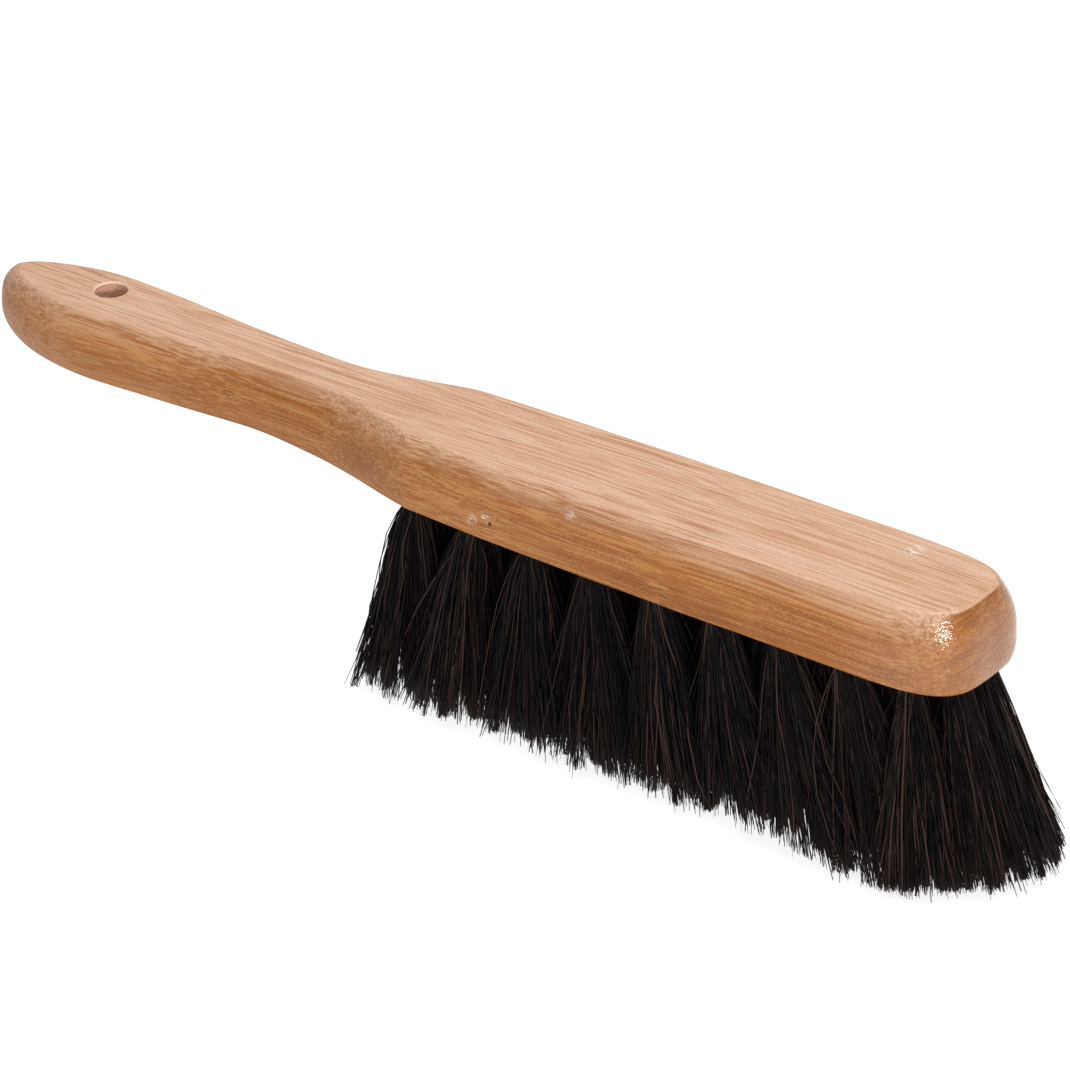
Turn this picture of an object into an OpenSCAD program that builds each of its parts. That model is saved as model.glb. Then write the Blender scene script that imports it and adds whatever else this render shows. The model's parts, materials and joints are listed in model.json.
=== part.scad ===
/* [Wood] */
// Length of the wood, handle and block together
wood_l = 330; // [320:1:345]
// Thickness of the board
wood_h = 22; // [20:0.5:26]
// How far the top edge is rounded in
top_round = 3.7; // [2:0.1:4.5]
// How far down the sides the top rounding reaches
top_round_h = 13; // [8:0.5:13]

/* [Handle] */
// Width of the handle at its widest
handle_w = 30.6; // [28:0.2:34]
// Distance from the handle's end to its widest part
belly_x = 22; // [15:1:40]
// Length of the rounded handle end
handle_end = 42; // [30:1:50]
// Shape of the handle end, 2 is an ellipse and less is more pointed
handle_end_power = 1.7; // [1.5:0.1:2.5]
// How far the underside edge of the handle is rounded in
grip_round = 5; // [2:0.5:6]
// How far up the sides the grip rounding reaches
grip_round_h = 9; // [6:0.5:9]
// Width at the neck, the narrowest part
neck_w = 20.7; // [18:0.1:24]
// Distance from the handle's end to the neck
neck_x = 119.5; // [112:0.5:124]
// Distance from the handle's end to the hang hole
hang_hole_x = 39; // [36:1:60]
// How far the hang hole is off the middle of the handle
hang_hole_y = 2.2; // [-3:0.2:3]
// Diameter of the hang hole
hang_hole_d = 9; // [6:0.5:10]

/* [Block] */
// Distance from the handle's end to the shoulder of the block
shoulder_x = 158; // [154:0.5:158.5]
// Width of the block at the shoulder
shoulder_w = 35.6; // [34.5:0.1:36.5]
// How steeply the flare still widens where it meets the shoulder
shoulder_slope = 0.18; // [0:0.02:0.3]
// Distance from the handle's end to where the block has its full width
full_x = 236; // [220:1:260]
// Full width of the block
block_w = 39; // [38.5:0.1:42]
// Length of the rounded block end
block_end = 38; // [30:1:42]
// Shape of the block end, a higher value is squarer
block_end_power = 3.8; // [3:0.1:5]
// How far the underside edge of the block is rounded in
block_round = 1; // [0.5:0.1:1.5]
// How far up the sides that rounding reaches
block_round_h = 5; // [3:0.5:6]

/* [Bristles] */
// Length of the bristles out of the block
bristle_out = 58; // [45:1:70]
// Tufts in each outer row
outer_count = 9; // [7:1:9]
// Tufts in each inner row
inner_count = 10; // [7:1:10]
// Spacing of the rows across the block
row_pitch = 8.4; // [8:0.1:8.6]
// Distance from the handle's end to the first tuft of the outer rows
outer_first = 157.5; // [157:0.5:163]
// Distance from the handle's end to the first tuft of the inner rows
inner_first = 152.5; // [151:0.5:156]
// Distance from the block's end to the last tuft of the outer rows
outer_last = 16; // [14:0.5:20]
// Distance from the block's end to the last tuft of the inner rows
inner_last = 9; // [8:0.5:14]
// Diameter of the tuft holes
tuft_hole_d = 7; // [5.5:0.1:7.2]
// Depth of the tuft holes
tuft_hole_depth = 14; // [10:0.5:15]
// Distance from the handle's end to where the bristle tips start
tips_first = 140; // [138:1:150]
// How far the bristle tips reach past the block's end
tips_past = 15; // [5:1:20]
// Width of the brush across its bristle tips
tips_w = 44; // [40:1:60]

/* [Anchors] */
// Width of the flat anchor wire, along the hole
anchor_w = 2; // [1.5:0.1:2.5]
// Thickness of the anchor wire
anchor_t = 0.4; // [0.3:0.05:0.6]
// How far each end of an anchor bites into the wood
anchor_bite = 1; // [0.5:0.1:1.2]
// Angle of the anchors to the grain
anchor_angle = 45; // [40:1:50]

/* [Hidden] */
// Points along each side of the wood's outline, and around a tuft
SIDE_POINTS = 60;
TUFT_POINTS = 16;
// Heights of the wood's sections, as shares of the two roundings that meet at grip_round_h
LOW_SHARES = [0, 0.13, 0.29, 0.55, 0.78, 1];
HIGH_SHARES = [0.23, 0.46, 0.69, 0.86, 1];
// The underside rounding changes from the grip's to the block's between these two places
blend_from = neck_x - 27;
blend_to = neck_x + 13;
// Room round a tuft in its hole, round an anchor, and between two tufts at their tips
hole_gap = 0.15;
anchor_gap = 0.05;
tip_gap = 0.4;
// Squareness of the share of the trimmed face that one tuft fills
TIP_POWER = 4;
// Extra wood that is planed off the two flat faces
PLANING = 1;

overall_l = wood_l + tips_past;
hole_r = tuft_hole_d / 2;
anchor_l = tuft_hole_d + 2 * anchor_bite;
// Height of an anchor's middle above the underside of the block
anchor_h = tuft_hole_depth - 3;
tips_l = overall_l - tips_first;
// The two outer rows are 1 and 4
ROWS = [1, 2, 3, 4];
tips_row = tips_w / len(ROWS);

function is_outer(row) = row == 1 || row == 4;
function tuft_count(row) = is_outer(row) ? outer_count : inner_count;
function tuft_name(row, place) = str("tuft_row", row, "_", place < 10 ? "0" : "", place);

// Share from 0 to 1 of the way from a to b
function share(v, a, b) = min(1, max(0, (v - a) / (b - a)));
function smooth(t) = t * t * (3 - 2 * t);
function mix(a, b, t) = a + (b - a) * t;

// A closed skin over rings that have the same number of points, from the lowest ring up
module skin(rings) {
    n = len(rings[0]);
    sides = [
        for (k = [0:len(rings) - 2]) for (i = [0:n - 1])
            for (side = [0, 1])
                side == 0
                    ? [k * n + i, (k + 1) * n + i, k * n + (i + 1) % n]
                    : [k * n + (i + 1) % n, (k + 1) * n + i, (k + 1) * n + (i + 1) % n]
    ];
    ends = [
        [for (i = [0:n - 1]) i],
        [for (i = [n - 1:-1:0]) (len(rings) - 1) * n + i]
    ];
    polyhedron(points = [for (ring = rings) for (p = ring) p], faces = concat(sides, ends));
}

// Half the width of the wood, measured from the handle's end, before its ends are rounded
function flare_half(t) =
    mix(neck_w, shoulder_w, smooth(t)) / 2
    + shoulder_slope * (shoulder_x - neck_x) * (t * t * t - t * t);
function side_half(x) =
    x < neck_x ? mix(handle_w, neck_w, smooth(share(x, belly_x, neck_x))) / 2
    : x < shoulder_x ? flare_half(share(x, neck_x, shoulder_x))
    : mix(block_w, shoulder_w, pow(1 - share(x, shoulder_x, full_x), 2)) / 2;

// How much of the full width is left at a distance from a rounded end
function end_share(x, reach, power) = pow(1 - pow(1 - share(x, 0, reach), power), 1 / power);

// How far the wood's side is set in, at a height above the underside
function top_in(z) = top_round * pow(share(z, wood_h - top_round_h, wood_h), 2);
function grip_in(z) = grip_round * pow(1 - share(z, 0, grip_round_h), 2);
function block_in(z) = block_round * pow(1 - share(z, 0, block_round_h), 2);
function set_in(x, z) =
    top_in(z) + mix(grip_in(z), block_in(z), smooth(share(x, blend_from, blend_to)));

// One side of the section at a height, as points from the handle's end to the block's end
function side_point(t, z) =
    let (
        from = set_in(0, z),
        to = wood_l - set_in(wood_l, z),
        x = mix(from, to, (1 - cos(180 * t)) / 2),
        near = end_share(x - from, handle_end - from, handle_end_power),
        far = end_share(to - x, block_end, block_end_power)
    )
    [x - overall_l / 2, (side_half(x) - set_in(x, z)) * near * far];

function wood_ring(z) =
    let (side = [for (i = [0:SIDE_POINTS]) side_point(i / SIDE_POINTS, z)])
    concat(
        [for (i = [0:SIDE_POINTS]) [side[i][0], -side[i][1], bristle_out + z]],
        [for (i = [SIDE_POINTS - 1:-1:1]) [side[i][0], side[i][1], bristle_out + z]]
    );

function wood_heights() = concat(
    [-PLANING],
    [for (t = LOW_SHARES) t * grip_round_h],
    [for (t = HIGH_SHARES) mix(grip_round_h, wood_h, t)],
    [wood_h + PLANING]
);

// Where a tuft's hole is in the underside, and the middle of its share of the trimmed face
function tuft_root(row, place) =
    let (
        first = is_outer(row) ? outer_first : inner_first,
        last = wood_l - (is_outer(row) ? outer_last : inner_last),
        x = mix(first, last, (place - 1) / (tuft_count(row) - 1))
    )
    [x - overall_l / 2, (row - 2.5) * row_pitch];
function tuft_tip(row, place) = [
    tips_first + tips_l * (place - 0.5) / tuft_count(row) - overall_l / 2,
    (row - 2.5) * tips_row
];

module at_tufts() {
    for (row = ROWS)
        for (place = [1:tuft_count(row)])
            translate(tuft_root(row, place)) children();
}

// Flat wire lying across a hole, with room all round it
module anchor_bar(room) {
    translate([0, 0, bristle_out + anchor_h])
        rotate([0, 0, anchor_angle])
            cube([anchor_l + 2 * room, anchor_t + 2 * room, anchor_w + 2 * room], center = true);
}

// The shaped board, planed flat above and below
module board() {
    intersection() {
        skin([for (z = wood_heights()) wood_ring(z)]);
        translate([-wood_l, -block_w, bristle_out]) cube([2 * wood_l, 2 * block_w, wood_h]);
    }
}

// One board, shaped as handle and block, with its hang hole, tuft holes and anchor cuts
module handle_block() {
    color([0.84, 0.68, 0.55]) difference() {
        board();
        translate([hang_hole_x - overall_l / 2, hang_hole_y, bristle_out - 1])
            cylinder(d = hang_hole_d, h = wood_h + 2, $fn = 64);
        at_tufts() {
            translate([0, 0, bristle_out - 1])
                cylinder(r = hole_r, h = tuft_hole_depth + 1, $fn = 48);
            anchor_bar(anchor_gap);
        }
    }
}

// Wire staples that hold the folded tufts in their holes
module tuft_anchors() {
    color([0.72, 0.72, 0.7]) at_tufts() anchor_bar(0);
}

// Ring round a tuft: a circle where power is 2, and squarer above that
function tuft_ring(centre, half_x, half_y, power, z) = [
    for (i = [0:TUFT_POINTS - 1])
        let (c = cos(360 * (i + 0.5) / TUFT_POINTS), s = sin(360 * (i + 0.5) / TUFT_POINTS))
        [
            centre[0] + half_x * sign(c) * pow(abs(c), 2 / power),
            centre[1] + half_y * sign(s) * pow(abs(s), 2 / power),
            z
        ]
];

// Bundle of fibre: a neck that fills its hole, and a fan down to the trimmed face
module tuft(row, place) {
    root = tuft_root(row, place);
    neck_r = hole_r - hole_gap;
    tip_x = (tips_l / tuft_count(row) - tip_gap) / 2;
    tip_y = (tips_row - tip_gap) / 2;
    color([0.11, 0.1, 0.1]) difference() {
        skin([
            tuft_ring(tuft_tip(row, place), tip_x, tip_y, TIP_POWER, 0),
            tuft_ring(root, neck_r, neck_r, 2, bristle_out),
            tuft_ring(root, neck_r, neck_r, 2, bristle_out + tuft_hole_depth - hole_gap)
        ]);
        translate(root) anchor_bar(anchor_gap);
    }
}

handle_block();
tuft_anchors();
for (row = ROWS)
    for (place = [1:tuft_count(row)])
        tuft(row, place);
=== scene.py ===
"""Bee brush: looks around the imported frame. Lengths are in millimetres until a mesh is made."""

import json
import math
from types import SimpleNamespace

import bmesh
import bpy
import numpy as np
from mathutils import Matrix, Vector


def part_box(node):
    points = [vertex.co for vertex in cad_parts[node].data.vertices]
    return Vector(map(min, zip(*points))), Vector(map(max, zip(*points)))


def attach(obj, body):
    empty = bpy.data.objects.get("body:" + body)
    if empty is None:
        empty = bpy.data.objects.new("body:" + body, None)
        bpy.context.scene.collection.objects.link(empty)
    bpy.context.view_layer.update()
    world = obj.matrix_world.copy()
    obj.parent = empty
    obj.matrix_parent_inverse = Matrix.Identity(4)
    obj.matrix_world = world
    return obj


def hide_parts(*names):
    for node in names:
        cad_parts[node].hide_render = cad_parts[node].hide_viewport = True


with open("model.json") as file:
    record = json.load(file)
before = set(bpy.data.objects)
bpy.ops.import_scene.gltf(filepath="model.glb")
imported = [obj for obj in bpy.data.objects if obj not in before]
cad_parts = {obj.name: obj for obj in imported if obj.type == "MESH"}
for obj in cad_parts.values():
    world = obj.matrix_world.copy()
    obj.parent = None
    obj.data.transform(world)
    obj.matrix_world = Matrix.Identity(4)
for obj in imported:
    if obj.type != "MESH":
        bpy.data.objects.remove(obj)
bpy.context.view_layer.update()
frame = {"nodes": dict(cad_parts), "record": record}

MM = 0.001

# --- Places and sizes read from the frame -------------------------------------------------------

WOOD_LOW, WOOD_HIGH = (np.array(corner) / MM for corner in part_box("handle_block"))
WOOD_L = WOOD_HIGH[0] - WOOD_LOW[0]
WOOD_H = WOOD_HIGH[2] - WOOD_LOW[2]
UNDERSIDE = WOOD_LOW[2]
BLOCK_W = WOOD_HIGH[1] - WOOD_LOW[1]
HANG_HOLE = next(m for m in frame["record"]["mounts"] if m["name"] == "hang_hole")
TUFT_NODES = sorted(name for name in frame["nodes"] if name.startswith("tuft_row"))

# --- The wood's shape, as in the part's source ----------------------------------------------------

HANDLE_W = 30.6
BELLY_X = 22
HANDLE_END = 42
HANDLE_END_POWER = 1.7
NECK_W = 20.7
NECK_X = 119.5
SHOULDER_X = 158
SHOULDER_W = 35.6
SHOULDER_SLOPE = 0.18
FULL_X = 236
BLOCK_END = 38
BLOCK_END_POWER = 3.8
TOP_ROUND, TOP_ROUND_H = 3.7, 13
GRIP_ROUND, GRIP_ROUND_H = 5, 9
BLOCK_ROUND, BLOCK_ROUND_H = 1, 5
BLEND_FROM, BLEND_TO = NECK_X - 27, NECK_X + 13
TUFT_HOLE_DEPTH = 14
ANCHOR_H, ANCHOR_W, ANCHOR_ANGLE = 11, 2, math.radians(45)

# Softening of the edges where the rounded sides meet the two flat faces
TOP_SOFT_IN, TOP_SOFT_DOWN = 1.1, 0.9
LOW_SOFT_IN, LOW_SOFT_UP = 0.6, 0.6
# Extra rounding of the top edge at the handle's very end
END_ROUND, END_ROUND_H = 3.0, 7

# Faces of the wood: along it, across its flat faces, and up the two soft edges and the side
COLUMNS, ACROSS = 300, 24
LOW_STEPS, SIDE_STEPS, TOP_STEPS = 6, 30, 8
WELD, NO_SIZE = 0.02, 0.01
SHARP_ANGLE = math.radians(38)

# Waves that sanding leaves: each one's depth and its length over two pi, and how far off the
# middle of the wood they start and are full
LONG_WAVE, LONG_WAVE_L = 0.07, 9.5
SHORT_WAVE, SHORT_WAVE_L = 0.05, 5.3
WAVES_FROM, WAVES_FULL = 3, 9
# The long wave bends up and down the side, and the short one slants across the wood
BEND, BEND_L = 1.3, 6
SLANT_L, WAVE_OFFSET = 7, 2

# Softened rim of the hang hole, as room past its radius and height out of the flat face
HANG_RIM = ((0.8, 0.3), (0.45, -0.05), (0.15, -0.25), (0, -0.6))
# Softened mouth of a tuft's hole, with heights above the underside, and the cone that the drill
# leaves at its bottom
TUFT_MOUTH = ((0.35, -0.5), (0.15, 0), (0, 0.4))
DRILL_POINT_R, DRILL_POINT_H = 0.4, 0.6
HANG_SIDES, TUFT_HOLE_SIDES = 96, 40
# Room between a CAD tuft and the wall of its hole
HOLE_GAP = 0.15

# --- Bristles -------------------------------------------------------------------------------------

HAIRS = 300  # folded fibres in a tuft, each with two legs
HAIR_R = 0.175
CLUMPS = 15
SEED = 7

# Spread of a tuft's tips, as a share of the room it has, and how square it is: 2 is round
FAN_X, FAN_Y = 1.45, 1.4
SQUARENESS = 5
# How far the middle of a tuft's tips is moved along X and Y, and the least and the most that
# its spread is scaled
MOVED = (1.5, 0.5)
SPREAD_CHANGE = (0.86, 1.12)
# How much of a tip's place follows its root, and how much is chance
IN_ORDER, BY_CHANCE = 0.74, 0.46
# Tips are drawn between these shares of the way to the middle of their clump, and then scatter
GATHERED = (0.2, 0.7)
SCATTER = 0.45
# Shares of legs that leave their neighbours, and how far: some a little and a few a long way
WILD, WILD_REACH = 0.08, (6.0, 2.5)
STRAY, STRAY_REACH = 0.012, (16.0, 2.0)
# How far the worn tips stand out past the trimmed width, and how far they stay from its start
SPLAY, FIRST_TIPS = 1.9, 0.5
# Tips that are past an outline come back by about as much as they are past it
BACK_TO_BOX = (0.8, 1.15)
BACK_TO_END = (0.7, 1.1)
# The tips of the block's end reach farthest from the handle's end at this y, which is a little
# off the middle, and less far on either side of it
END_REACH, END_MIDDLE, END_CURVE = 342, 7, 0.036

# Most fibres end this high, and a few long ones reach down to the lowest height
TRIM_Z, LOWEST = 1.0, 0.25
# One place on the near side is worn shorter: its middle, its half length and its depth
WORN_X, WORN_L, WORN_DEPTH = 282, 13, 3.2
WORN_Y = 12
# How unevenly whole tufts, clumps and fibres are cut
TUFT_CUT, CLUMP_CUT, FIBRE_CUT = 0.5, 1.2, 0.2
# Fibres of a clump are cut this much shorter per millimetre off its middle, up to a limit
POINTED, POINTED_LIMIT = 0.45, 4
# Shares of legs that are cut short or left long, and by how much
SHORT, SHORT_BY = 0.06, (1, 9)
LONG, LONG_BY = 0.035, (1, 5)

# Where a leg has its rings, as shares of its length
LEG_SHARES = np.array([0, 0.06, 0.17, 0.32, 0.49, 0.66, 0.84, 1.0])
# A leg leans out with its length to this power, which is a little higher near the block's end
LEAN, END_LEAN, END_LEAN_L = (0.7, 1.2), 0.15, 15
# Legs sway and curl, fully from this share of their length on, and a few are bowed, mostly along X
FREE_FROM, SWAY = 0.2, 0.6
CURL, CURL_TURNS = 0.36, (0.8, 1.7)
BOWED, BOW, BOW_WAYS = 0.02, 3.5, (1.0, 0.3)

# The legs keep this share of the hole's radius off its middle, and this many millimetres off
# its wall
OFF_MIDDLE, OFF_WALL = 0.1, 0.1
# The second leg of a fibre stands a little nearer to the anchor
SECOND_LEG = (0.9, 1.0)
# The folds lie over the anchor, higher for fibres that stand farther from it, and keep a gap to
# the anchor and to the bottom of the hole
FOLD_GAP, FOLD_RISE = 0.3, 1.2
# Inside the hole a leg has rings at these heights, at this share of its distance from the middle
HIDDEN_RINGS = ((5, 1.0), (ANCHOR_H, 0.97))
# Between a leg and the fold's top there is a ring at this share of that distance and that height
FOLD_SHOULDER, FOLD_SHOULDER_H = 0.75, 0.8

# Fibres differ in thickness by a factor whose logarithm has this middle and spread, and a few
# are broad and flat
THICKNESS, THICKNESS_SPREAD = -0.05, 0.25
BROAD, BROAD_BY, BROAD_FLATNESS = 0.015, 2.2, 0.3
FLATNESS = (0.6, 0.95)
TAPER, TAPER_FROM = 0.45, 0.8
TUBE_SIDES = 4


def share(v, a, b):
    return np.clip((np.asarray(v, float) - a) / (b - a), 0, 1)


def smooth(t):
    return t * t * (3 - 2 * t)


def mix(a, b, t):
    return a + (b - a) * t


# --- Meshes ---------------------------------------------------------------------------------------


def new_object(name, points, faces, materials=()):
    """An object from points in millimetres in the part's frame."""
    mesh = bpy.data.meshes.new(name)
    mesh.from_pydata((np.asarray(points) * MM).tolist(), [], faces)
    for material in materials:
        mesh.materials.append(material)
    mesh.validate()
    piece = bpy.data.objects.new(name, mesh)
    bpy.context.scene.collection.objects.link(piece)
    return piece


def grid_faces(rows, columns, start=0):
    """Quads over a grid of points stored row by row, facing along row step x column step."""
    first = start + np.arange(rows - 1)[:, None] * columns + np.arange(columns - 1)[None, :]
    return np.stack([first, first + columns, first + columns + 1, first + 1], -1).reshape(-1, 4)


# --- Wood -----------------------------------------------------------------------------------------


def side_half(x):
    """Half the wood's width, measured from the handle's end, before the ends are rounded."""
    t = share(x, NECK_X, SHOULDER_X)
    handle = mix(HANDLE_W, NECK_W, smooth(share(x, BELLY_X, NECK_X))) / 2
    flare = mix(NECK_W, SHOULDER_W, smooth(t)) / 2
    flare = flare + SHOULDER_SLOPE * (SHOULDER_X - NECK_X) * (t**3 - t**2)
    block = mix(BLOCK_W, SHOULDER_W, (1 - share(x, SHOULDER_X, FULL_X)) ** 2) / 2
    return np.where(x < NECK_X, handle, np.where(x < SHOULDER_X, flare, block))


def end_share(x, reach, power):
    return (1 - (1 - share(x, 0, reach)) ** power) ** (1 / power)


def top_in(z):
    return TOP_ROUND * share(z, WOOD_H - TOP_ROUND_H, WOOD_H) ** 2


def low_in(z, depth, height):
    return depth * (1 - share(z, 0, height)) ** 2 + top_in(z)


def soft_edge(corner_in, corner_z, start_in, start_z, end_in, steps):
    """A curved edge from the side to the flat face, which bends at their corner."""
    t = np.linspace(0, 1, steps + 1)[1:]
    inward = (1 - t) ** 2 * start_in + 2 * t * (1 - t) * corner_in + t**2 * end_in
    height = (1 - t) ** 2 * start_z + 2 * t * (1 - t) * corner_z + t**2 * corner_z
    return inward, height


def section(depth, height):
    """How far the side is set in at each height, from the underside's edge to the top's."""
    bottom_in = low_in(0, depth, height)
    start_in = low_in(LOW_SOFT_UP, depth, height)
    inward, up = soft_edge(
        bottom_in, 0, start_in, LOW_SOFT_UP, bottom_in + LOW_SOFT_IN, LOW_STEPS
    )
    side_z = np.linspace(LOW_SOFT_UP, WOOD_H - TOP_SOFT_DOWN, SIDE_STEPS)
    side_in = low_in(side_z, depth, height)
    top_edge_in, top_edge_z = soft_edge(
        TOP_ROUND, WOOD_H, side_in[-1], side_z[-1], TOP_ROUND + TOP_SOFT_IN, TOP_STEPS
    )
    return (
        np.concatenate([inward[::-1], side_in, top_edge_in]),
        np.concatenate([up[::-1], side_z, top_edge_z]),
    )


def wood_rows():
    """One long side of the wood: rows up the section, columns from the handle's end."""
    grip_in, z = section(GRIP_ROUND, GRIP_ROUND_H)
    block_in, _ = section(BLOCK_ROUND, BLOCK_ROUND_H)
    t = (1 - np.cos(np.pi * np.linspace(0, 1, COLUMNS))) / 2
    rows = []
    for grip, block, height in zip(grip_in, block_in, z):
        start = grip + END_ROUND * share(height, WOOD_H - END_ROUND_H, WOOD_H) ** 2
        x = mix(start, WOOD_L - block, t)
        inward = mix(grip, block, smooth(share(x, BLEND_FROM, BLEND_TO)))
        near = end_share(x - start, HANDLE_END - start, HANDLE_END_POWER)
        far = end_share(WOOD_L - block - x, BLOCK_END, BLOCK_END_POWER)
        y = (side_half(x) - inward) * near * far
        rows.append(np.stack([x + WOOD_LOW[0], y, np.full_like(x, height + UNDERSIDE)], -1))
    return np.array(rows)


def hand_sanding(points):
    """Slight waves, a tenth of a millimetre deep, as sanding by hand leaves them."""
    x, y, z = points.T
    wave = LONG_WAVE * np.sin(x / LONG_WAVE_L + BEND * np.sin(z / BEND_L))
    wave = wave + SHORT_WAVE * np.sin(x / SHORT_WAVE_L + y / SLANT_L + WAVE_OFFSET)
    points[:, 1] += wave * np.sign(y) * share(np.abs(y), WAVES_FROM, WAVES_FULL)
    return points


def make_wood(material, bare_material):
    """The board as one closed mesh, cut by the hang hole and the tuft holes."""
    near = wood_rows()
    far = near * [1, -1, 1]
    span = np.linspace(-1, 1, ACROSS)
    top = near[-1][None] * [1, 0, 1] + near[-1][None] * [0, 1, 0] * span[:, None, None]
    bottom = near[0][None] * [1, 0, 1] - near[0][None] * [0, 1, 0] * span[:, None, None]
    points, faces = [], []
    for rows in (near, far[::-1], top, bottom):
        start = sum(len(p) for p in points)
        faces.append(grid_faces(rows.shape[0], rows.shape[1], start))
        points.append(rows.reshape(-1, 3))
    piece = new_object(
        "wooden_back", hand_sanding(np.concatenate(points)), np.concatenate(faces).tolist(),
        [material, bare_material],
    )
    close_up(piece)
    cutter = hole_cutter(bare_material)
    cut = piece.modifiers.new("holes", "BOOLEAN")
    cut.operation = "DIFFERENCE"
    cut.solver = "EXACT"
    cut.object = cutter
    cut.material_mode = "TRANSFER"
    apply_modifiers(piece)
    bpy.data.objects.remove(cutter)
    piece.data.polygons.foreach_set("use_smooth", [True] * len(piece.data.polygons))
    piece.data.set_sharp_from_angle(angle=SHARP_ANGLE)
    return piece


def close_up(piece):
    """Welds the seams and drops the faces that have no area."""
    mesh = bmesh.new()
    mesh.from_mesh(piece.data)
    bmesh.ops.remove_doubles(mesh, verts=mesh.verts, dist=WELD * MM)
    bmesh.ops.dissolve_degenerate(mesh, dist=NO_SIZE * MM, edges=mesh.edges)
    bmesh.ops.recalc_face_normals(mesh, faces=mesh.faces)
    mesh.to_mesh(piece.data)
    mesh.free()


def apply_modifiers(piece):
    graph = bpy.context.evaluated_depsgraph_get()
    made = bpy.data.meshes.new_from_object(piece.evaluated_get(graph), depsgraph=graph)
    old = piece.data
    piece.modifiers.clear()
    piece.data = made
    made.name = old.name + "_cut"
    bpy.data.meshes.remove(old)


def turned_solid(centre, profile, sides):
    """Points and faces of a closed solid turned round a vertical axis."""
    angle = 2 * np.pi * np.arange(sides) / sides
    points = [
        [centre[0] + r * math.cos(a), centre[1] + r * math.sin(a), z]
        for r, z in profile
        for a in angle
    ]
    faces = [
        [low + i, low + (i + 1) % sides, low + sides + (i + 1) % sides, low + sides + i]
        for low in range(0, (len(profile) - 1) * sides, sides)
        for i in range(sides)
    ]
    last = (len(profile) - 1) * sides
    faces += [list(range(sides))[::-1], [last + i for i in range(sides)]]
    return points, faces


def hole_cutter(material):
    """Everything that is drilled out of the wood, as one object."""
    points, faces = [], []

    def add(centre, profile, sides):
        more_points, more_faces = turned_solid(centre, profile, sides)
        faces.extend([[i + len(points) for i in face] for face in more_faces])
        points.extend(more_points)

    radius = HANG_HOLE["dims"]["r_mm"]
    low, high = UNDERSIDE, UNDERSIDE + WOOD_H
    bottom_rim = [(radius + room, low - height) for room, height in HANG_RIM]
    top_rim = [(radius + room, high + height) for room, height in HANG_RIM[::-1]]
    add(np.array(HANG_HOLE["pos_m"]) / MM, bottom_rim + top_rim, HANG_SIDES)
    for name in TUFT_NODES:
        root, radius, _, _ = tuft_shape(name)
        mouth = [(radius + room, low + height) for room, height in TUFT_MOUTH]
        end = low + TUFT_HOLE_DEPTH
        add(root, mouth + [(radius, end - DRILL_POINT_H), (DRILL_POINT_R, end)], TUFT_HOLE_SIDES)
    return new_object("drill", points, faces, [material])


# --- Tufts ----------------------------------------------------------------------------------------


def tuft_shape(name):
    """A tuft's hole centre and radius, and the middle and half size of its trimmed face."""
    mesh = frame["nodes"][name].data
    points = np.array([v.co for v in mesh.vertices]) / MM
    neck = points[points[:, 2] > UNDERSIDE + TUFT_HOLE_DEPTH - 1, :2]
    tips = points[points[:, 2] < 1, :2]
    root = (neck.min(0) + neck.max(0)) / 2
    radius = np.ptp(neck, axis=0).max() / 2 + HOLE_GAP
    return root, radius, (tips.min(0) + tips.max(0)) / 2, np.ptp(tips, axis=0) / 2


def disc(rng, count):
    """Evenly scattered points in a unit disc."""
    angle = rng.uniform(0, 2 * np.pi, count)
    reach = np.sqrt(rng.uniform(0, 1, count))
    return np.stack([reach * np.cos(angle), reach * np.sin(angle)], -1)


def tip_box():
    """The outline of all the trimmed tips."""
    shapes = [tuft_shape(name) for name in TUFT_NODES]
    low = np.min([tip - half for _, _, tip, half in shapes], 0)
    high = np.max([tip + half for _, _, tip, half in shapes], 0)
    return low, high


TIPS_LOW, TIPS_HIGH = tip_box()


def squarer(place):
    """Spreads points of the unit disc into the corners of a square with rounded corners."""
    reach = np.linalg.norm(place, axis=-1, keepdims=True)
    cosine = place / np.maximum(reach, 1e-6)
    return place / (np.abs(cosine) ** SQUARENESS).sum(-1, keepdims=True) ** (1 / SQUARENESS)


def end_reach(y):
    """The X that the tips of the block's end reach at a y."""
    return WOOD_LOW[0] + END_REACH - END_CURVE * (y - END_MIDDLE) ** 2


def trimmed_height(x, y):
    """Height of the trimmed face, which is worn in one place on the near side."""
    worn = np.exp(-(((x - WOOD_LOW[0] - WORN_X) / WORN_L) ** 2)) * share(-y, 0, WORN_Y)
    return TRIM_Z + WORN_DEPTH * worn


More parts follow.
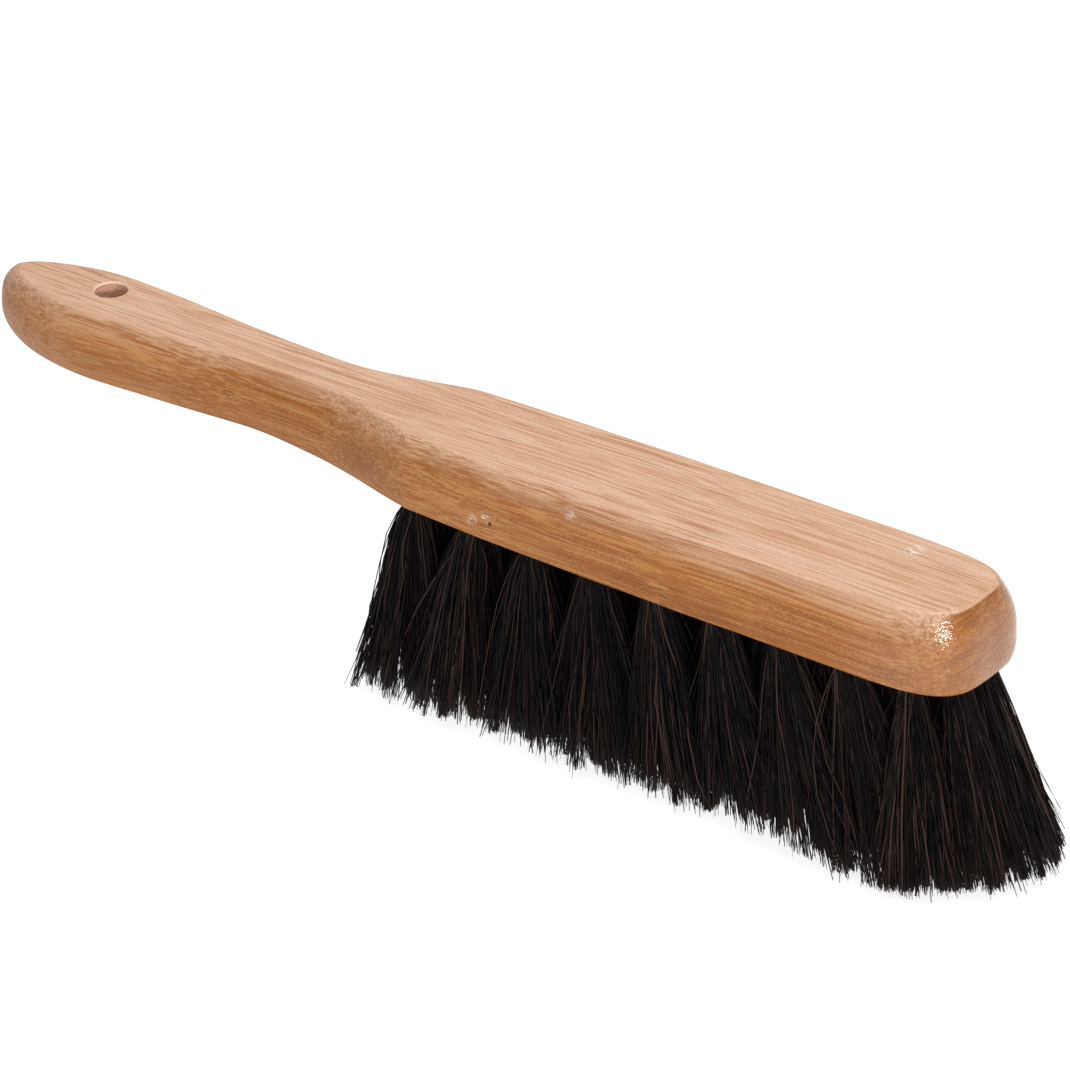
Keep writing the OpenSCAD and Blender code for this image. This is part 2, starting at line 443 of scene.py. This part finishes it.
def leg_tips(rng, place, tip, half, clumps, clump_cut):
    """Where fibre legs end. place is where each one's root is in the unit disc."""
    count = len(place)
    spot = squarer(IN_ORDER * place + BY_CHANCE * disc(rng, count)) * [FAN_X, FAN_Y]
    nearest = np.argmin(((spot[:, None] - clumps[None]) ** 2).sum(-1), 1)
    spot = mix(spot, clumps[nearest], rng.uniform(*GATHERED, count)[:, None])
    off_middle = np.linalg.norm((spot - clumps[nearest]) * half, axis=-1)
    end = tip + spot * half + rng.normal(0, SCATTER, (count, 2))
    for chance, reach in ((WILD, WILD_REACH), (STRAY, STRAY_REACH)):
        moved = rng.random(count) < chance
        end = end + moved[:, None] * rng.normal(0, 1, (count, 2)) * reach
    past = end - np.clip(end, TIPS_LOW + [FIRST_TIPS, -SPLAY], TIPS_HIGH + [0, SPLAY])
    end = end - past * rng.uniform(*BACK_TO_BOX, (count, 1))
    past = np.maximum(end[:, 0] - end_reach(end[:, 1]), 0)
    end[:, 0] -= past * rng.uniform(*BACK_TO_END, count)
    height = trimmed_height(end[:, 0], end[:, 1]) + clump_cut[nearest]
    height = height + np.abs(rng.normal(0, FIBRE_CUT, count))
    height = height + POINTED * np.minimum(off_middle, POINTED_LIMIT)
    height = height + (rng.random(count) < SHORT) * rng.uniform(*SHORT_BY, count)
    height = height - (rng.random(count) < LONG) * rng.uniform(*LONG_BY, count)
    return end, height


def leg_paths(rng, start, end, height):
    """Fibre legs from the hole's mouth to their tips."""
    count = len(start)
    t = LEG_SHARES[None, :, None]
    lean = rng.uniform(*LEAN, count)
    lean = lean + END_LEAN * share(end[:, 0] - WOOD_LOW[0], WOOD_L - END_LEAN_L, WOOD_L)
    flat = start[:, None] + (end - start)[:, None] * t ** lean[:, None, None]
    sway = rng.normal(0, SWAY, (count, 1, 2)) * np.sin(np.pi * t) ** 2
    curl = rng.gamma(1.0, CURL, (count, 1, 2)) * rng.choice([-1, 1], (count, 1, 2))
    curl = curl * np.sin(2 * np.pi * t * rng.uniform(*CURL_TURNS, (count, 1, 2)))
    bowed = rng.random((count, 1, 1)) < BOWED
    bow = bowed * rng.normal(0, BOW, (count, 1, 2)) * np.sin(np.pi * t)
    flat = flat + (sway + curl) * share(t, 0, FREE_FROM) + bow * BOW_WAYS
    z = UNDERSIDE - (UNDERSIDE - height)[:, None] * LEG_SHARES[None]
    return np.concatenate([flat, np.maximum(z, LOWEST)[..., None]], -1)


def folded_paths(rng, name):
    """Whole fibres: up one leg, over the anchor at the bottom of the hole and down the other."""
    root, radius, tip, half = tuft_shape(name)
    tip = tip + rng.normal(0, 1, 2) * MOVED
    half = half * rng.uniform(*SPREAD_CHANGE, 2)
    across = np.array([-math.sin(ANCHOR_ANGLE), math.cos(ANCHOR_ANGLE)])
    along = np.array([math.cos(ANCHOR_ANGLE), math.sin(ANCHOR_ANGLE)])
    place = disc(rng, HAIRS)
    side = place @ across
    place = place - np.outer(side - np.maximum(np.abs(side), OFF_MIDDLE), across)
    other = np.outer(place @ along, along) - np.outer(np.abs(place @ across), across)
    other = other * rng.uniform(*SECOND_LEG, (HAIRS, 1))
    clumps = rng.uniform(-1, 1, (CLUMPS, 2)) * [FAN_X, FAN_Y]
    clump_cut = rng.uniform(0, TUFT_CUT) + np.abs(rng.normal(0, CLUMP_CUT, CLUMPS))
    legs = []
    for where in (place, other):
        end, height = leg_tips(rng, where, tip, half, clumps, clump_cut)
        start = root + where * (radius - HAIR_R - OFF_WALL)
        legs.append(leg_paths(rng, start, end, height))
    hidden = folds(legs[0][:, 0, :2], legs[1][:, 0, :2], np.abs(place @ across))
    path = np.concatenate([legs[0][:, ::-1], hidden, legs[1]], 1)
    along_leg = np.concatenate([LEG_SHARES[::-1], np.zeros(hidden.shape[1]), LEG_SHARES])
    return path, along_leg, np.append(along, 0.0)


def folds(start, other_start, reach):
    """The hidden part of each fibre, from one leg over the anchor to the other leg."""
    fold_top = np.minimum(
        UNDERSIDE + ANCHOR_H + ANCHOR_W / 2 + FOLD_GAP + reach * FOLD_RISE,
        UNDERSIDE + TUFT_HOLE_DEPTH - FOLD_GAP,
    )
    shoulder = mix(UNDERSIDE + ANCHOR_H, fold_top, FOLD_SHOULDER_H)
    middle = (start + other_start) / 2

    def at(flat, height):
        return np.concatenate([flat, np.broadcast_to(height, (HAIRS,))[:, None]], -1)

    def rings(leg):
        return [at(mix(middle, leg, nearer), UNDERSIDE + height) for height, nearer in HIDDEN_RINGS]

    over = [
        at(mix(middle, start, FOLD_SHOULDER), shoulder),
        at(middle, fold_top),
        at(mix(middle, other_start, FOLD_SHOULDER), shoulder),
    ]
    return np.stack(rings(start) + over + rings(other_start)[::-1], 1)


def tubes(path, radius, flatness, turn, axis):
    """Four-sided tubes along many paths, with their ends closed."""
    count, steps, _ = path.shape
    tangent = np.gradient(path, axis=1)
    tangent /= np.linalg.norm(tangent, axis=-1, keepdims=True)
    side = axis - (tangent @ axis)[..., None] * tangent
    side /= np.linalg.norm(side, axis=-1, keepdims=True)
    other = np.cross(tangent, side)
    cosine, sine = np.cos(turn)[:, None], np.sin(turn)[:, None]
    rings = []
    for angle in 2 * np.pi * np.arange(TUBE_SIDES) / TUBE_SIDES:
        wide = radius * np.cos(angle)
        thin = radius * np.sin(angle) * flatness[:, None]
        rings.append(
            path
            + (wide * cosine - thin * sine)[..., None] * side
            + (wide * sine + thin * cosine)[..., None] * other
        )
    points = np.stack(rings, 2).reshape(-1, 3)
    ring = np.arange(TUBE_SIDES)
    ahead = (ring + 1) % TUBE_SIDES
    start = (np.arange(count) * steps * TUBE_SIDES)[:, None]
    first = (start + np.arange(steps - 1)[None] * TUBE_SIDES).reshape(-1, 1)
    next_ring = first + TUBE_SIDES
    quads = np.stack([first + ring, first + ahead, next_ring + ahead, next_ring + ring], -1)
    caps = np.concatenate([start + ring[::-1], start + (steps - 1) * TUBE_SIDES + ring])
    return points, np.concatenate([quads.reshape(-1, 4), caps])


def make_tuft(name, rng, material):
    """All the fibres of one tuft as one mesh, each with a tone, and its reach along the leg."""
    path, along_leg, axis = folded_paths(rng, name)
    count, steps, _ = path.shape
    thick = HAIR_R * np.exp(rng.normal(THICKNESS, THICKNESS_SPREAD, count))
    broad = rng.random(count) < BROAD
    thick = np.where(broad, thick * BROAD_BY, thick)
    flatness = np.where(broad, BROAD_FLATNESS, rng.uniform(*FLATNESS, count))
    taper = 1 - TAPER * share(along_leg, TAPER_FROM, 1) ** 2
    turn = rng.uniform(0, np.pi, count)
    points, faces = tubes(path, thick[:, None] * taper[None], flatness, turn, axis)
    piece = new_object(name.replace("tuft", "bristles"), points, faces.tolist(), [material])
    tone = np.repeat(rng.random(count), steps * TUBE_SIDES)
    reach = np.tile(np.repeat(along_leg, TUBE_SIDES), count)
    for label, values in (("tone", tone), ("reach", reach)):
        layer = piece.data.attributes.new(label, "FLOAT", "POINT")
        layer.data.foreach_set("value", values.astype(np.float32))
    piece.data.polygons.foreach_set("use_smooth", [True] * len(piece.data.polygons))
    return piece


# --- Materials ------------------------------------------------------------------------------------


class Nodes:
    """Short ways to add shader nodes to one material."""

    def __init__(self, name):
        self.material = bpy.data.materials.new(name)
        self.material.use_nodes = True
        self.tree = self.material.node_tree
        self.shader = self.tree.nodes["Principled BSDF"]

    def put(self, value, socket):
        if isinstance(value, bpy.types.NodeSocket):
            self.tree.links.new(value, socket)
        else:
            socket.default_value = value

    def set(self, **values):
        for label, value in values.items():
            self.put(value, self.shader.inputs[label.replace("_", " ")])

    def maths(self, operation, a, b=0.0):
        node = self.tree.nodes.new("ShaderNodeMath")
        node.operation = operation
        self.put(a, node.inputs[0])
        self.put(b, node.inputs[1])
        return node.outputs[0]

    def vector(self, operation, a, b=None):
        node = self.tree.nodes.new("ShaderNodeVectorMath")
        node.operation = operation
        self.put(a, node.inputs[0])
        if b is not None:
            self.put(b, node.inputs[1])
        return node.outputs["Value" if operation == "LENGTH" else "Vector"]

    def times(self, value, *factors):
        for factor in factors:
            value = self.maths("MULTIPLY", value, factor)
        return value

    def place(self):
        """Places on the object in millimetres, and the direction that its surface faces."""
        node = self.tree.nodes.new("ShaderNodeTexCoord")
        mm = self.vector("MULTIPLY", node.outputs["Object"], (1 / MM, 1 / MM, 1 / MM))
        return mm, node.outputs["Normal"]

    def axes(self, vector):
        node = self.tree.nodes.new("ShaderNodeSeparateXYZ")
        self.put(vector, node.inputs["Vector"])
        return node.outputs

    def turned(self, vector, degrees):
        node = self.tree.nodes.new("ShaderNodeMapping")
        self.put(vector, node.inputs["Vector"])
        node.inputs["Rotation"].default_value = [math.radians(angle) for angle in degrees]
        return node.outputs["Vector"]

    def noise(self, vector, detail=2.0, roughness=0.5, colour=False):
        node = self.tree.nodes.new("ShaderNodeTexNoise")
        self.put(vector, node.inputs["Vector"])
        node.inputs["Scale"].default_value = 1.0
        node.inputs["Detail"].default_value = detail
        node.inputs["Roughness"].default_value = roughness
        return node.outputs["Color" if colour else "Fac"]

    def grain(self, vector, along, across, detail=2.0, roughness=0.5):
        """Noise with spots of about this many millimetres along and across the wood's grain."""
        return self.noise(
            self.vector("MULTIPLY", vector, (1 / along, 1 / across, 1 / across)),
            detail, roughness,
        )

    def speckle(self, vector, per_mm, detail=2.0, roughness=0.5):
        """Noise with about this many spots in a millimetre of each axis."""
        return self.noise(self.vector("MULTIPLY", vector, per_mm), detail, roughness)

    def dashes(self, vector, length, spacing, core, edge):
        """Thin dark dashes along the grain, one in each cell of this length and spacing."""
        node = self.tree.nodes.new("ShaderNodeTexVoronoi")
        node.inputs["Scale"].default_value = 1.0
        cells = self.vector("MULTIPLY", vector, (1 / length, 1 / spacing, 1 / spacing))
        self.put(cells, node.inputs["Vector"])
        return self.between(node.outputs["Distance"], core, edge, 1.0, 0.0)

    def between(self, value, low, high, to_low=0.0, to_high=1.0):
        node = self.tree.nodes.new("ShaderNodeMapRange")
        node.interpolation_type = "SMOOTHSTEP"
        self.put(value, node.inputs["Value"])
        for label, number in (
            ("From Min", low), ("From Max", high), ("To Min", to_low), ("To Max", to_high)
        ):
            node.inputs[label].default_value = number
        return node.outputs["Result"]

    def fade(self, value, at_0, at_1):
        return self.between(value, 0.0, 1.0, at_0, at_1)

    def blend(self, share_of_b, a, b):
        node = self.tree.nodes.new("ShaderNodeMix")
        node.data_type = "RGBA"
        self.put(share_of_b, node.inputs["Factor"])
        for value, socket in ((a, node.inputs[6]), (b, node.inputs[7])):
            self.put(value if not isinstance(value, tuple) else (*value, 1.0), socket)
        return node.outputs[2]

    def attribute(self, label):
        node = self.tree.nodes.new("ShaderNodeAttribute")
        node.attribute_name = label
        return node.outputs["Fac"]

    def bump(self, height, distance):
        node = self.tree.nodes.new("ShaderNodeBump")
        node.inputs["Strength"].default_value = 1.0
        node.inputs["Distance"].default_value = distance
        self.put(height, node.inputs["Height"])
        return node.outputs["Normal"]


# Colours of the varnished wood on its flat faces and its sides, and what shows over them. The
# sides' colours are darker than the flat faces' as painted shade, and more orange
TOP_LIGHT, TOP_DARK = (0.675, 0.463, 0.332), (0.56, 0.332, 0.213)
SHADED_SIDE_LIGHT, SHADED_SIDE_DARK = (0.475, 0.218, 0.069), (0.225, 0.068, 0.009)
SIDE_PALE = (0.56, 0.29, 0.14)
STRIPE, PORE, MOTTLE = (0.33, 0.105, 0.018), (0.36, 0.125, 0.045), (0.29, 0.098, 0.028)
RING = (0.22, 0.072, 0.018)
BARE_DARK, BARE_LIGHT, BARE_RIM = (0.45, 0.235, 0.15), (0.66, 0.40, 0.27), (0.74, 0.53, 0.39)

# Grain: the length and width of its spots, and the detail and roughness of their noise
BANDS = (260, 5.0, 2.0, 0.55)
STREAKS = (70, 0.8, 3.0, 0.6)
THREADS = (80, 0.3, 1.0, 0.5)
FINE = (1.6, 0.3, 2.0, 0.6)
ROWS = (30, 0.85, 2.0, 0.6)
PATCHES = (45, 7, 2.0, 0.5)
# How strongly each kind of grain shows on the sides and on the flat faces
GRAIN = ((BANDS, 0.27, 0.15), (STREAKS, 0.27, 0.15), (THREADS, 0.38, 0.56), (FINE, 0.08, 0.14))
# Pores: their length and spacing, and where their core ends and their edge fades out
LONG_PORES = (120, 0.5, 0.17, 0.29)
SHORT_PORES = (22, 0.6, 0.12, 0.25)

# The grain is tilted this many degrees in the board, and wanders this many millimetres
TILT = (0, 0.5, -0.8)
WANDER, WANDER_L, WANDER_W = 5.0, 130, 40
# The growth rings on the end faces lean this many degrees
RING_LEAN = (-14, 0, 0)

# Spots in a millimetre of each axis: roughness of the sides, mottled end grain, growth rings,
# scratches in a scuff and the varnish's orange peel
ROUGH_SPOTS, MOTTLE_SPOTS, RING_SPOTS = (2.4, 2.4, 2.4), (1.2, 1.2, 0.9), (0.12, 0.1, 0.95)
SCRATCH_SPOTS, PEEL_SPOTS = (0.35, 0.8, 0.9), (0.8, 1.15, 1.15)
# Between which values of its noise each of them starts to show and shows fully
TONE_RANGE, PATCH_RANGE = (0.41, 0.59), (0.35, 0.6)
ROW_RANGE, MOTTLE_RANGE = (0.52, 0.62), (0.42, 0.64)
RING_RANGE, SCRATCH_RANGE = (0.47, 0.58), (0.46, 0.6)

# How far up the surface faces, from -1 to 1, where the sides' colours, darkened as painted shade,
# turn into the paler ones
# of the flat faces: on the long sides, on the end faces and at the underside
LONG_SIDE_FLAT, END_FLAT, UNDERSIDE_FLAT = (0.16, 0.62), (0.5, 0.8), (-0.75, -0.95)
# Along the handle, between these places, that comes a little higher up
HANDLE_SHIFT_X, HANDLE_SHIFT = (-20, -70), 0.06
# How far along X the surface faces, from 0 to 1, where end grain and the end faces' look show
END_GRAIN, END_FACE = (0.03, 0.36), (0.4, 0.75)
# The softened edge round the top is a band between these directions, painted darker towards the
# top's dark colour as shade
EDGE_OUTSIDE, EDGE_INSIDE, EDGE_SHADE_STRENGTH = (0.5, 0.8), (0.995, 0.93), 0.55
# The varnish is duller below and on the flat top
DULL_BELOW, DULL_ABOVE = (-0.75, 0.05, 0.05, 1.0), (0.7, 0.95, 1.0, 0.04)

# Small pale scuffs in the varnish, each a place, a radius and a strength, and one dark speck
SCUFF = (0.80, 0.66, 0.60)
SCUFFS = (
    ((127.3, 9.1, 80), 3.6, 0.9),
    ((9.1, -18.6, 63.3), 2.6, 0.6),
    ((13.9, -18.7, 65.8), 2.4, 0.6),
    ((41, -17.8, 75.2), 3.0, 0.35),
)
SCUFF_CORE = 0.3  # the share of its radius where a scuff is strongest
SPECK, SPECK_R, SPECK_CORE = (15.2, -18.8, 64.2), 0.8, 0.45
SPECK_COLOUR = (0.06, 0.02, 0.01)

# Where along X the handle's side is palest, where the varnish is thin and where it is full
PALE_FROM, PALE_TO = -60, -165
THIN_COAT_X, FULL_COAT_X = 118, 148

# Colours of the fibres, from the darkest to the few pale ones, and of their worn tips
FIBRE_BLACK, FIBRE_DARK = (0.0010, 0.0006, 0.0006), (0.0085, 0.0045, 0.0037)
FIBRE_BROWN, FIBRE_PALE = (0.052, 0.029, 0.023), (0.27, 0.17, 0.14)
FIBRE_TIP = (0.018, 0.010, 0.008)
WIRE_DARK, WIRE_LIGHT = (0.45, 0.44, 0.42), (0.66, 0.66, 0.64)


def wood_pattern(nodes):
    """Grain that runs through the whole board along its length, so curved cuts show its ends."""
    mm, normal = nodes.place()
    tilted = nodes.turned(mm, TILT)
    wander = nodes.noise(
        nodes.vector("MULTIPLY", tilted, (1 / WANDER_L, 1 / WANDER_W, 1 / WANDER_W)), 1.0,
        colour=True,
    )
    wander = nodes.vector("SUBTRACT", wander, (0.5, 0.5, 0.5))
    wander = nodes.vector("MULTIPLY", wander, (0.0, WANDER, WANDER))
    x = nodes.axes(mm)["X"]
    up = nodes.axes(normal)["Z"]
    along = nodes.maths("ABSOLUTE", nodes.axes(normal)["X"])
    end_face = nodes.between(along, *END_FACE)
    level = nodes.maths("SUBTRACT", up, nodes.between(x, *HANDLE_SHIFT_X, 0.0, HANDLE_SHIFT))
    # flat: how much a place takes the flat faces' colours instead of the sides' darker ones, which
    # are painted shade; it grows as the surface faces up
    flat = nodes.blend(
        end_face, nodes.between(level, *LONG_SIDE_FLAT), nodes.between(level, *END_FLAT)
    )
    return SimpleNamespace(
        mm=mm,
        grain=nodes.vector("ADD", tilted, wander),
        x=x,
        up=up,
        flat=nodes.maths("MAXIMUM", flat, nodes.between(level, *UNDERSIDE_FLAT)),
        end_grain=nodes.between(along, *END_GRAIN),
        end_face=end_face,
    )


def grain_tone(nodes, wood):
    """How light the wood is between its dark and its light colour, evened out on end grain."""
    tone = 0.0
    for kind, on_side, on_top in GRAIN:
        part = nodes.grain(wood.grain, *kind)
        tone = nodes.maths("ADD", tone, nodes.times(part, nodes.fade(wood.flat, on_side, on_top)))
    rough = nodes.maths("SUBTRACT", nodes.speckle(wood.mm, ROUGH_SPOTS), 0.5)
    rough = nodes.times(rough, nodes.maths("SUBTRACT", 1.0, wood.flat), 0.3)
    tone = nodes.between(nodes.maths("ADD", tone, rough), *TONE_RANGE)
    return nodes.blend(nodes.times(wood.end_grain, 0.2), tone, (0.5, 0.5, 0.5))


def wood_pores(nodes, wood):
    """Thin dark pores, long and short, in patches along the grain."""
    short_pores = nodes.times(nodes.dashes(wood.grain, *SHORT_PORES), 0.8)
    pores = nodes.maths("MAXIMUM", nodes.dashes(wood.grain, *LONG_PORES), short_pores)
    patches = nodes.between(nodes.grain(wood.grain, *PATCHES), *PATCH_RANGE, 0.4, 0.9)
    return nodes.times(pores, patches, nodes.fade(wood.end_grain, 1.0, 0.3))


def wood_marks(nodes, wood, pores):
    """What shows over the wood's own colour, from the lowest up, with a band of painted shade along
    the top edge: how strongly, and its colour.
    """
    rows = nodes.between(nodes.grain(wood.grain, *ROWS), *ROW_RANGE)
    mottle = nodes.between(nodes.speckle(wood.mm, MOTTLE_SPOTS, 3.0, 0.6), *MOTTLE_RANGE)
    rings = nodes.speckle(nodes.turned(wood.grain, RING_LEAN), RING_SPOTS)
    rings = nodes.times(nodes.between(rings, *RING_RANGE), wood.end_face)
    # Painted shade: a band along the soft top edge, picked out by the direction the surface faces,
    # is darkened towards the top's dark colour
    edge = nodes.times(
        nodes.between(wood.up, *EDGE_OUTSIDE), nodes.between(wood.up, *EDGE_INSIDE), EDGE_SHADE_STRENGTH
    )
    marks = [
        (nodes.times(rows, nodes.fade(wood.flat, 0.85, 0.3)), STRIPE),
        (pores, PORE),
        (nodes.times(mottle, nodes.fade(wood.end_grain, 0.12, 0.55)), MOTTLE),
        (nodes.times(rings, nodes.fade(wood.flat, 0.5, 0.0)), RING),
        (edge, TOP_DARK),
    ]
    scratches = nodes.speckle(wood.mm, SCRATCH_SPOTS, 4.0, 0.65)
    for spot, radius, strength in SCUFFS:
        away = nodes.vector("LENGTH", nodes.vector("SUBTRACT", wood.mm, spot))
        inside = nodes.between(away, radius, SCUFF_CORE * radius)
        scratched = nodes.between(scratches, *SCRATCH_RANGE, 0.0, strength)
        marks.append((nodes.times(inside, scratched), SCUFF))
    away = nodes.vector("LENGTH", nodes.vector("SUBTRACT", wood.mm, SPECK))
    marks.append((nodes.between(away, SPECK_R, SPECK_CORE), SPECK_COLOUR))
    return marks


def make_varnished_wood():
    """Varnished board: pale flat faces, sides darkened as painted shade, and a coat that is thin on
    the handle.
    """
    nodes = Nodes("varnished_hardwood")
    wood = wood_pattern(nodes)
    tone = grain_tone(nodes, wood)
    pale = nodes.between(wood.x, PALE_FROM, PALE_TO, 0.0, 0.4)
    pale = nodes.times(pale, nodes.fade(wood.flat, 1.0, 0.0))
    # The sides' colours are darkened as painted shade, and they blend into the flat faces' colours
    # by how far up the surface faces
    side = nodes.blend(pale, nodes.blend(tone, SHADED_SIDE_DARK, SHADED_SIDE_LIGHT), SIDE_PALE)
    colour = nodes.blend(wood.flat, side, nodes.blend(tone, TOP_DARK, TOP_LIGHT))
    pores = wood_pores(nodes, wood)
    for strength, mark in wood_marks(nodes, wood, pores):
        colour = nodes.blend(strength, colour, mark)
    peel = nodes.speckle(wood.mm, PEEL_SPOTS)
    height = nodes.maths("SUBTRACT", nodes.times(peel, 0.6), nodes.times(pores, 0.8))
    gloss = nodes.times(nodes.between(wood.up, *DULL_BELOW), nodes.between(wood.up, *DULL_ABOVE))
    nodes.set(
        Base_Color=colour,
        Roughness=nodes.between(nodes.grain(wood.grain, *STREAKS), 0.3, 0.7, 0.4, 0.54),
        Specular_IOR_Level=nodes.times(gloss, 0.14),
        Normal=nodes.bump(height, 0.06 * MM),
        Coat_Weight=nodes.times(gloss, nodes.between(wood.x, THIN_COAT_X, FULL_COAT_X, 0.12, 1.0)),
        Coat_Roughness=0.07,
        Coat_Normal=nodes.bump(peel, 0.2 * MM),
    )
    return nodes.material


def make_bare_wood():
    """Drilled wood without varnish, palest at the hang hole's upper rim."""
    nodes = Nodes("drilled_hardwood")
    wood = wood_pattern(nodes)
    rough = nodes.grain(wood.grain, 2.5, 0.5, 3.0)
    rings = nodes.speckle(wood.mm, (0.4, 0.4, 2.2))
    tone = nodes.between(nodes.times(nodes.maths("ADD", rough, rings), 0.5), 0.35, 0.65)
    rim = nodes.between(nodes.axes(wood.mm)["Z"], WOOD_HIGH[2] - 0.6, WOOD_HIGH[2] - 0.3)
    nodes.set(
        Base_Color=nodes.blend(rim, nodes.blend(tone, BARE_DARK, BARE_LIGHT), BARE_RIM),
        Roughness=nodes.between(rough, 0.3, 0.7, 0.7, 0.9),
        Normal=nodes.bump(rough, 0.2 * MM),
    )
    return nodes.material


def make_bristle():
    """Nearly black fibre, some of it brown, with one pale fibre in many and slightly faded tips."""
    nodes = Nodes("bristle_fibre")
    mm, _ = nodes.place()
    tone, reach = nodes.attribute("tone"), nodes.attribute("reach")
    blotch = nodes.speckle(mm, (0.7, 0.7, 0.12))
    pale = nodes.times(
        nodes.between(tone, 0.9985, 0.9995), nodes.between(reach, 0.35, 0.5),
        nodes.between(reach, 0.8, 0.7),
    )
    tips = nodes.times(nodes.between(reach, 0.75, 1.0), blotch, 0.5)
    colour = nodes.blend(nodes.between(tone, 0.45, 0.8), FIBRE_BLACK, FIBRE_DARK)
    colour = nodes.blend(nodes.between(tone, 0.74, 1.0), colour, FIBRE_BROWN)
    colour = nodes.blend(pale, colour, FIBRE_PALE)
    streak = nodes.speckle(mm, (9.0, 9.0, 0.35))
    nodes.set(
        Base_Color=nodes.blend(tips, colour, FIBRE_TIP),
        Roughness=nodes.between(streak, 0.3, 0.7, 0.38, 0.55),
        Specular_IOR_Level=0.11,
        Normal=nodes.bump(streak, 0.03 * MM),
    )
    return nodes.material


def make_wire():
    """Drawn steel wire with fine lines and a few duller spots."""
    nodes = Nodes("anchor_wire")
    mm, _ = nodes.place()
    drawn = nodes.speckle(mm, (2.0, 2.0, 14.0), 3.0)
    nodes.set(
        Base_Color=nodes.blend(nodes.speckle(mm, (1.5, 1.5, 1.5)), WIRE_DARK, WIRE_LIGHT),
        Metallic=1.0,
        Roughness=nodes.between(drawn, 0.3, 0.7, 0.28, 0.5),
        Normal=nodes.bump(drawn, 0.04 * MM),
    )
    return nodes.material


def make_floor_material():
    """A plain pale floor that glows a little, so that hardly any shadow shows on it."""
    nodes = Nodes("pale_floor")
    nodes.set(
        Base_Color=(0.3, 0.3, 0.3, 1.0),
        Roughness=0.9,
        Specular_IOR_Level=0.0,
        Emission_Color=(1.0, 1.0, 1.0, 1.0),
        Emission_Strength=0.83,
    )
    return nodes.material


# --- The scene ------------------------------------------------------------------------------------

# The camera looks at a point near the middle of the brush, from this distance and these angles
AIM = Vector((6.84, 9.09, 44.7)) * MM
DISTANCE = 1385.4 * MM
AZIMUTH, ELEVATION, ROLL = math.radians(39.6), math.radians(29.3), math.radians(-2.28)
LENS = 177.46
FARTHEST_SEEN = 20

# Lights in metres and watts: a place, a target, a width, a height and a power
LIGHTS = {
    "overhead": ((0.1, 0.1, 1.4), (0, 0, 0), 1.3, 1.3, 20),
    "front_box": ((1.05, -0.97, 0.50), (0.14, -0.01, 0.07), 0.6, 0.13, 12.8),
}
SKY_STRENGTH = 0.2
FLOOR_HALF = 9000


def make_camera():
    """A long lens from the front and right, a little above the brush."""
    level = Vector((math.cos(AZIMUTH), math.sin(AZIMUTH), 0))
    ahead = Vector(
        (
            -math.sin(AZIMUTH) * math.cos(ELEVATION),
            math.cos(AZIMUTH) * math.cos(ELEVATION),
            -math.sin(ELEVATION),
        )
    )
    upright = level.cross(ahead)
    right = level * math.cos(ROLL) + upright * math.sin(ROLL)
    up = upright * math.cos(ROLL) - level * math.sin(ROLL)
    camera = bpy.data.objects.new("camera", bpy.data.cameras.new("camera"))
    camera.data.lens = LENS
    camera.data.clip_end = FARTHEST_SEEN
    camera.matrix_world = Matrix.Translation(AIM - ahead * DISTANCE) @ Matrix(
        (right, up, -ahead)
    ).transposed().to_4x4()
    bpy.context.scene.collection.objects.link(camera)
    bpy.context.scene.camera = camera


def make_light(name, place, target, width, height, power):
    lamp = bpy.data.lights.new(name, "AREA")
    lamp.shape = "RECTANGLE"
    lamp.size = width
    lamp.size_y = height
    lamp.energy = power
    light = bpy.data.objects.new(name, lamp)
    light.location = place
    light.rotation_euler = (Vector(target) - Vector(place)).to_track_quat("-Z", "Y").to_euler()
    bpy.context.scene.collection.objects.link(light)


def make_studio():
    """A pale floor under soft light, with a narrow light box that shines on the block's end."""
    corners = [[x * FLOOR_HALF, y * FLOOR_HALF, 0] for x, y in ((-1, -1), (1, -1), (1, 1), (-1, 1))]
    floor = new_object("floor", corners, [[0, 1, 2, 3]], [make_floor_material()])
    world = bpy.data.worlds.new("studio")
    world.use_nodes = True
    sky = world.node_tree.nodes["Background"]
    sky.inputs["Color"].default_value = (1.0, 1.0, 1.0, 1.0)
    sky.inputs["Strength"].default_value = SKY_STRENGTH
    bpy.context.scene.world = world
    for name, settings in LIGHTS.items():
        make_light(name, *settings)
    bpy.context.scene.view_settings.view_transform = "Standard"


def make_brush():
    """The visual pieces that stand for the CAD nodes, and the wire's material."""
    wood = make_wood(make_varnished_wood(), make_bare_wood())
    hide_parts("handle_block")
    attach(wood, "root")
    fibre = make_bristle()
    for number, name in enumerate(TUFT_NODES):
        tuft = make_tuft(name, np.random.default_rng(SEED + number), fibre)
        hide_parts(name)
        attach(tuft, "root")
    wire = frame["nodes"]["tuft_anchors"]
    wire.data.materials.clear()
    wire.data.materials.append(make_wire())


make_camera()
make_studio()
make_brush()
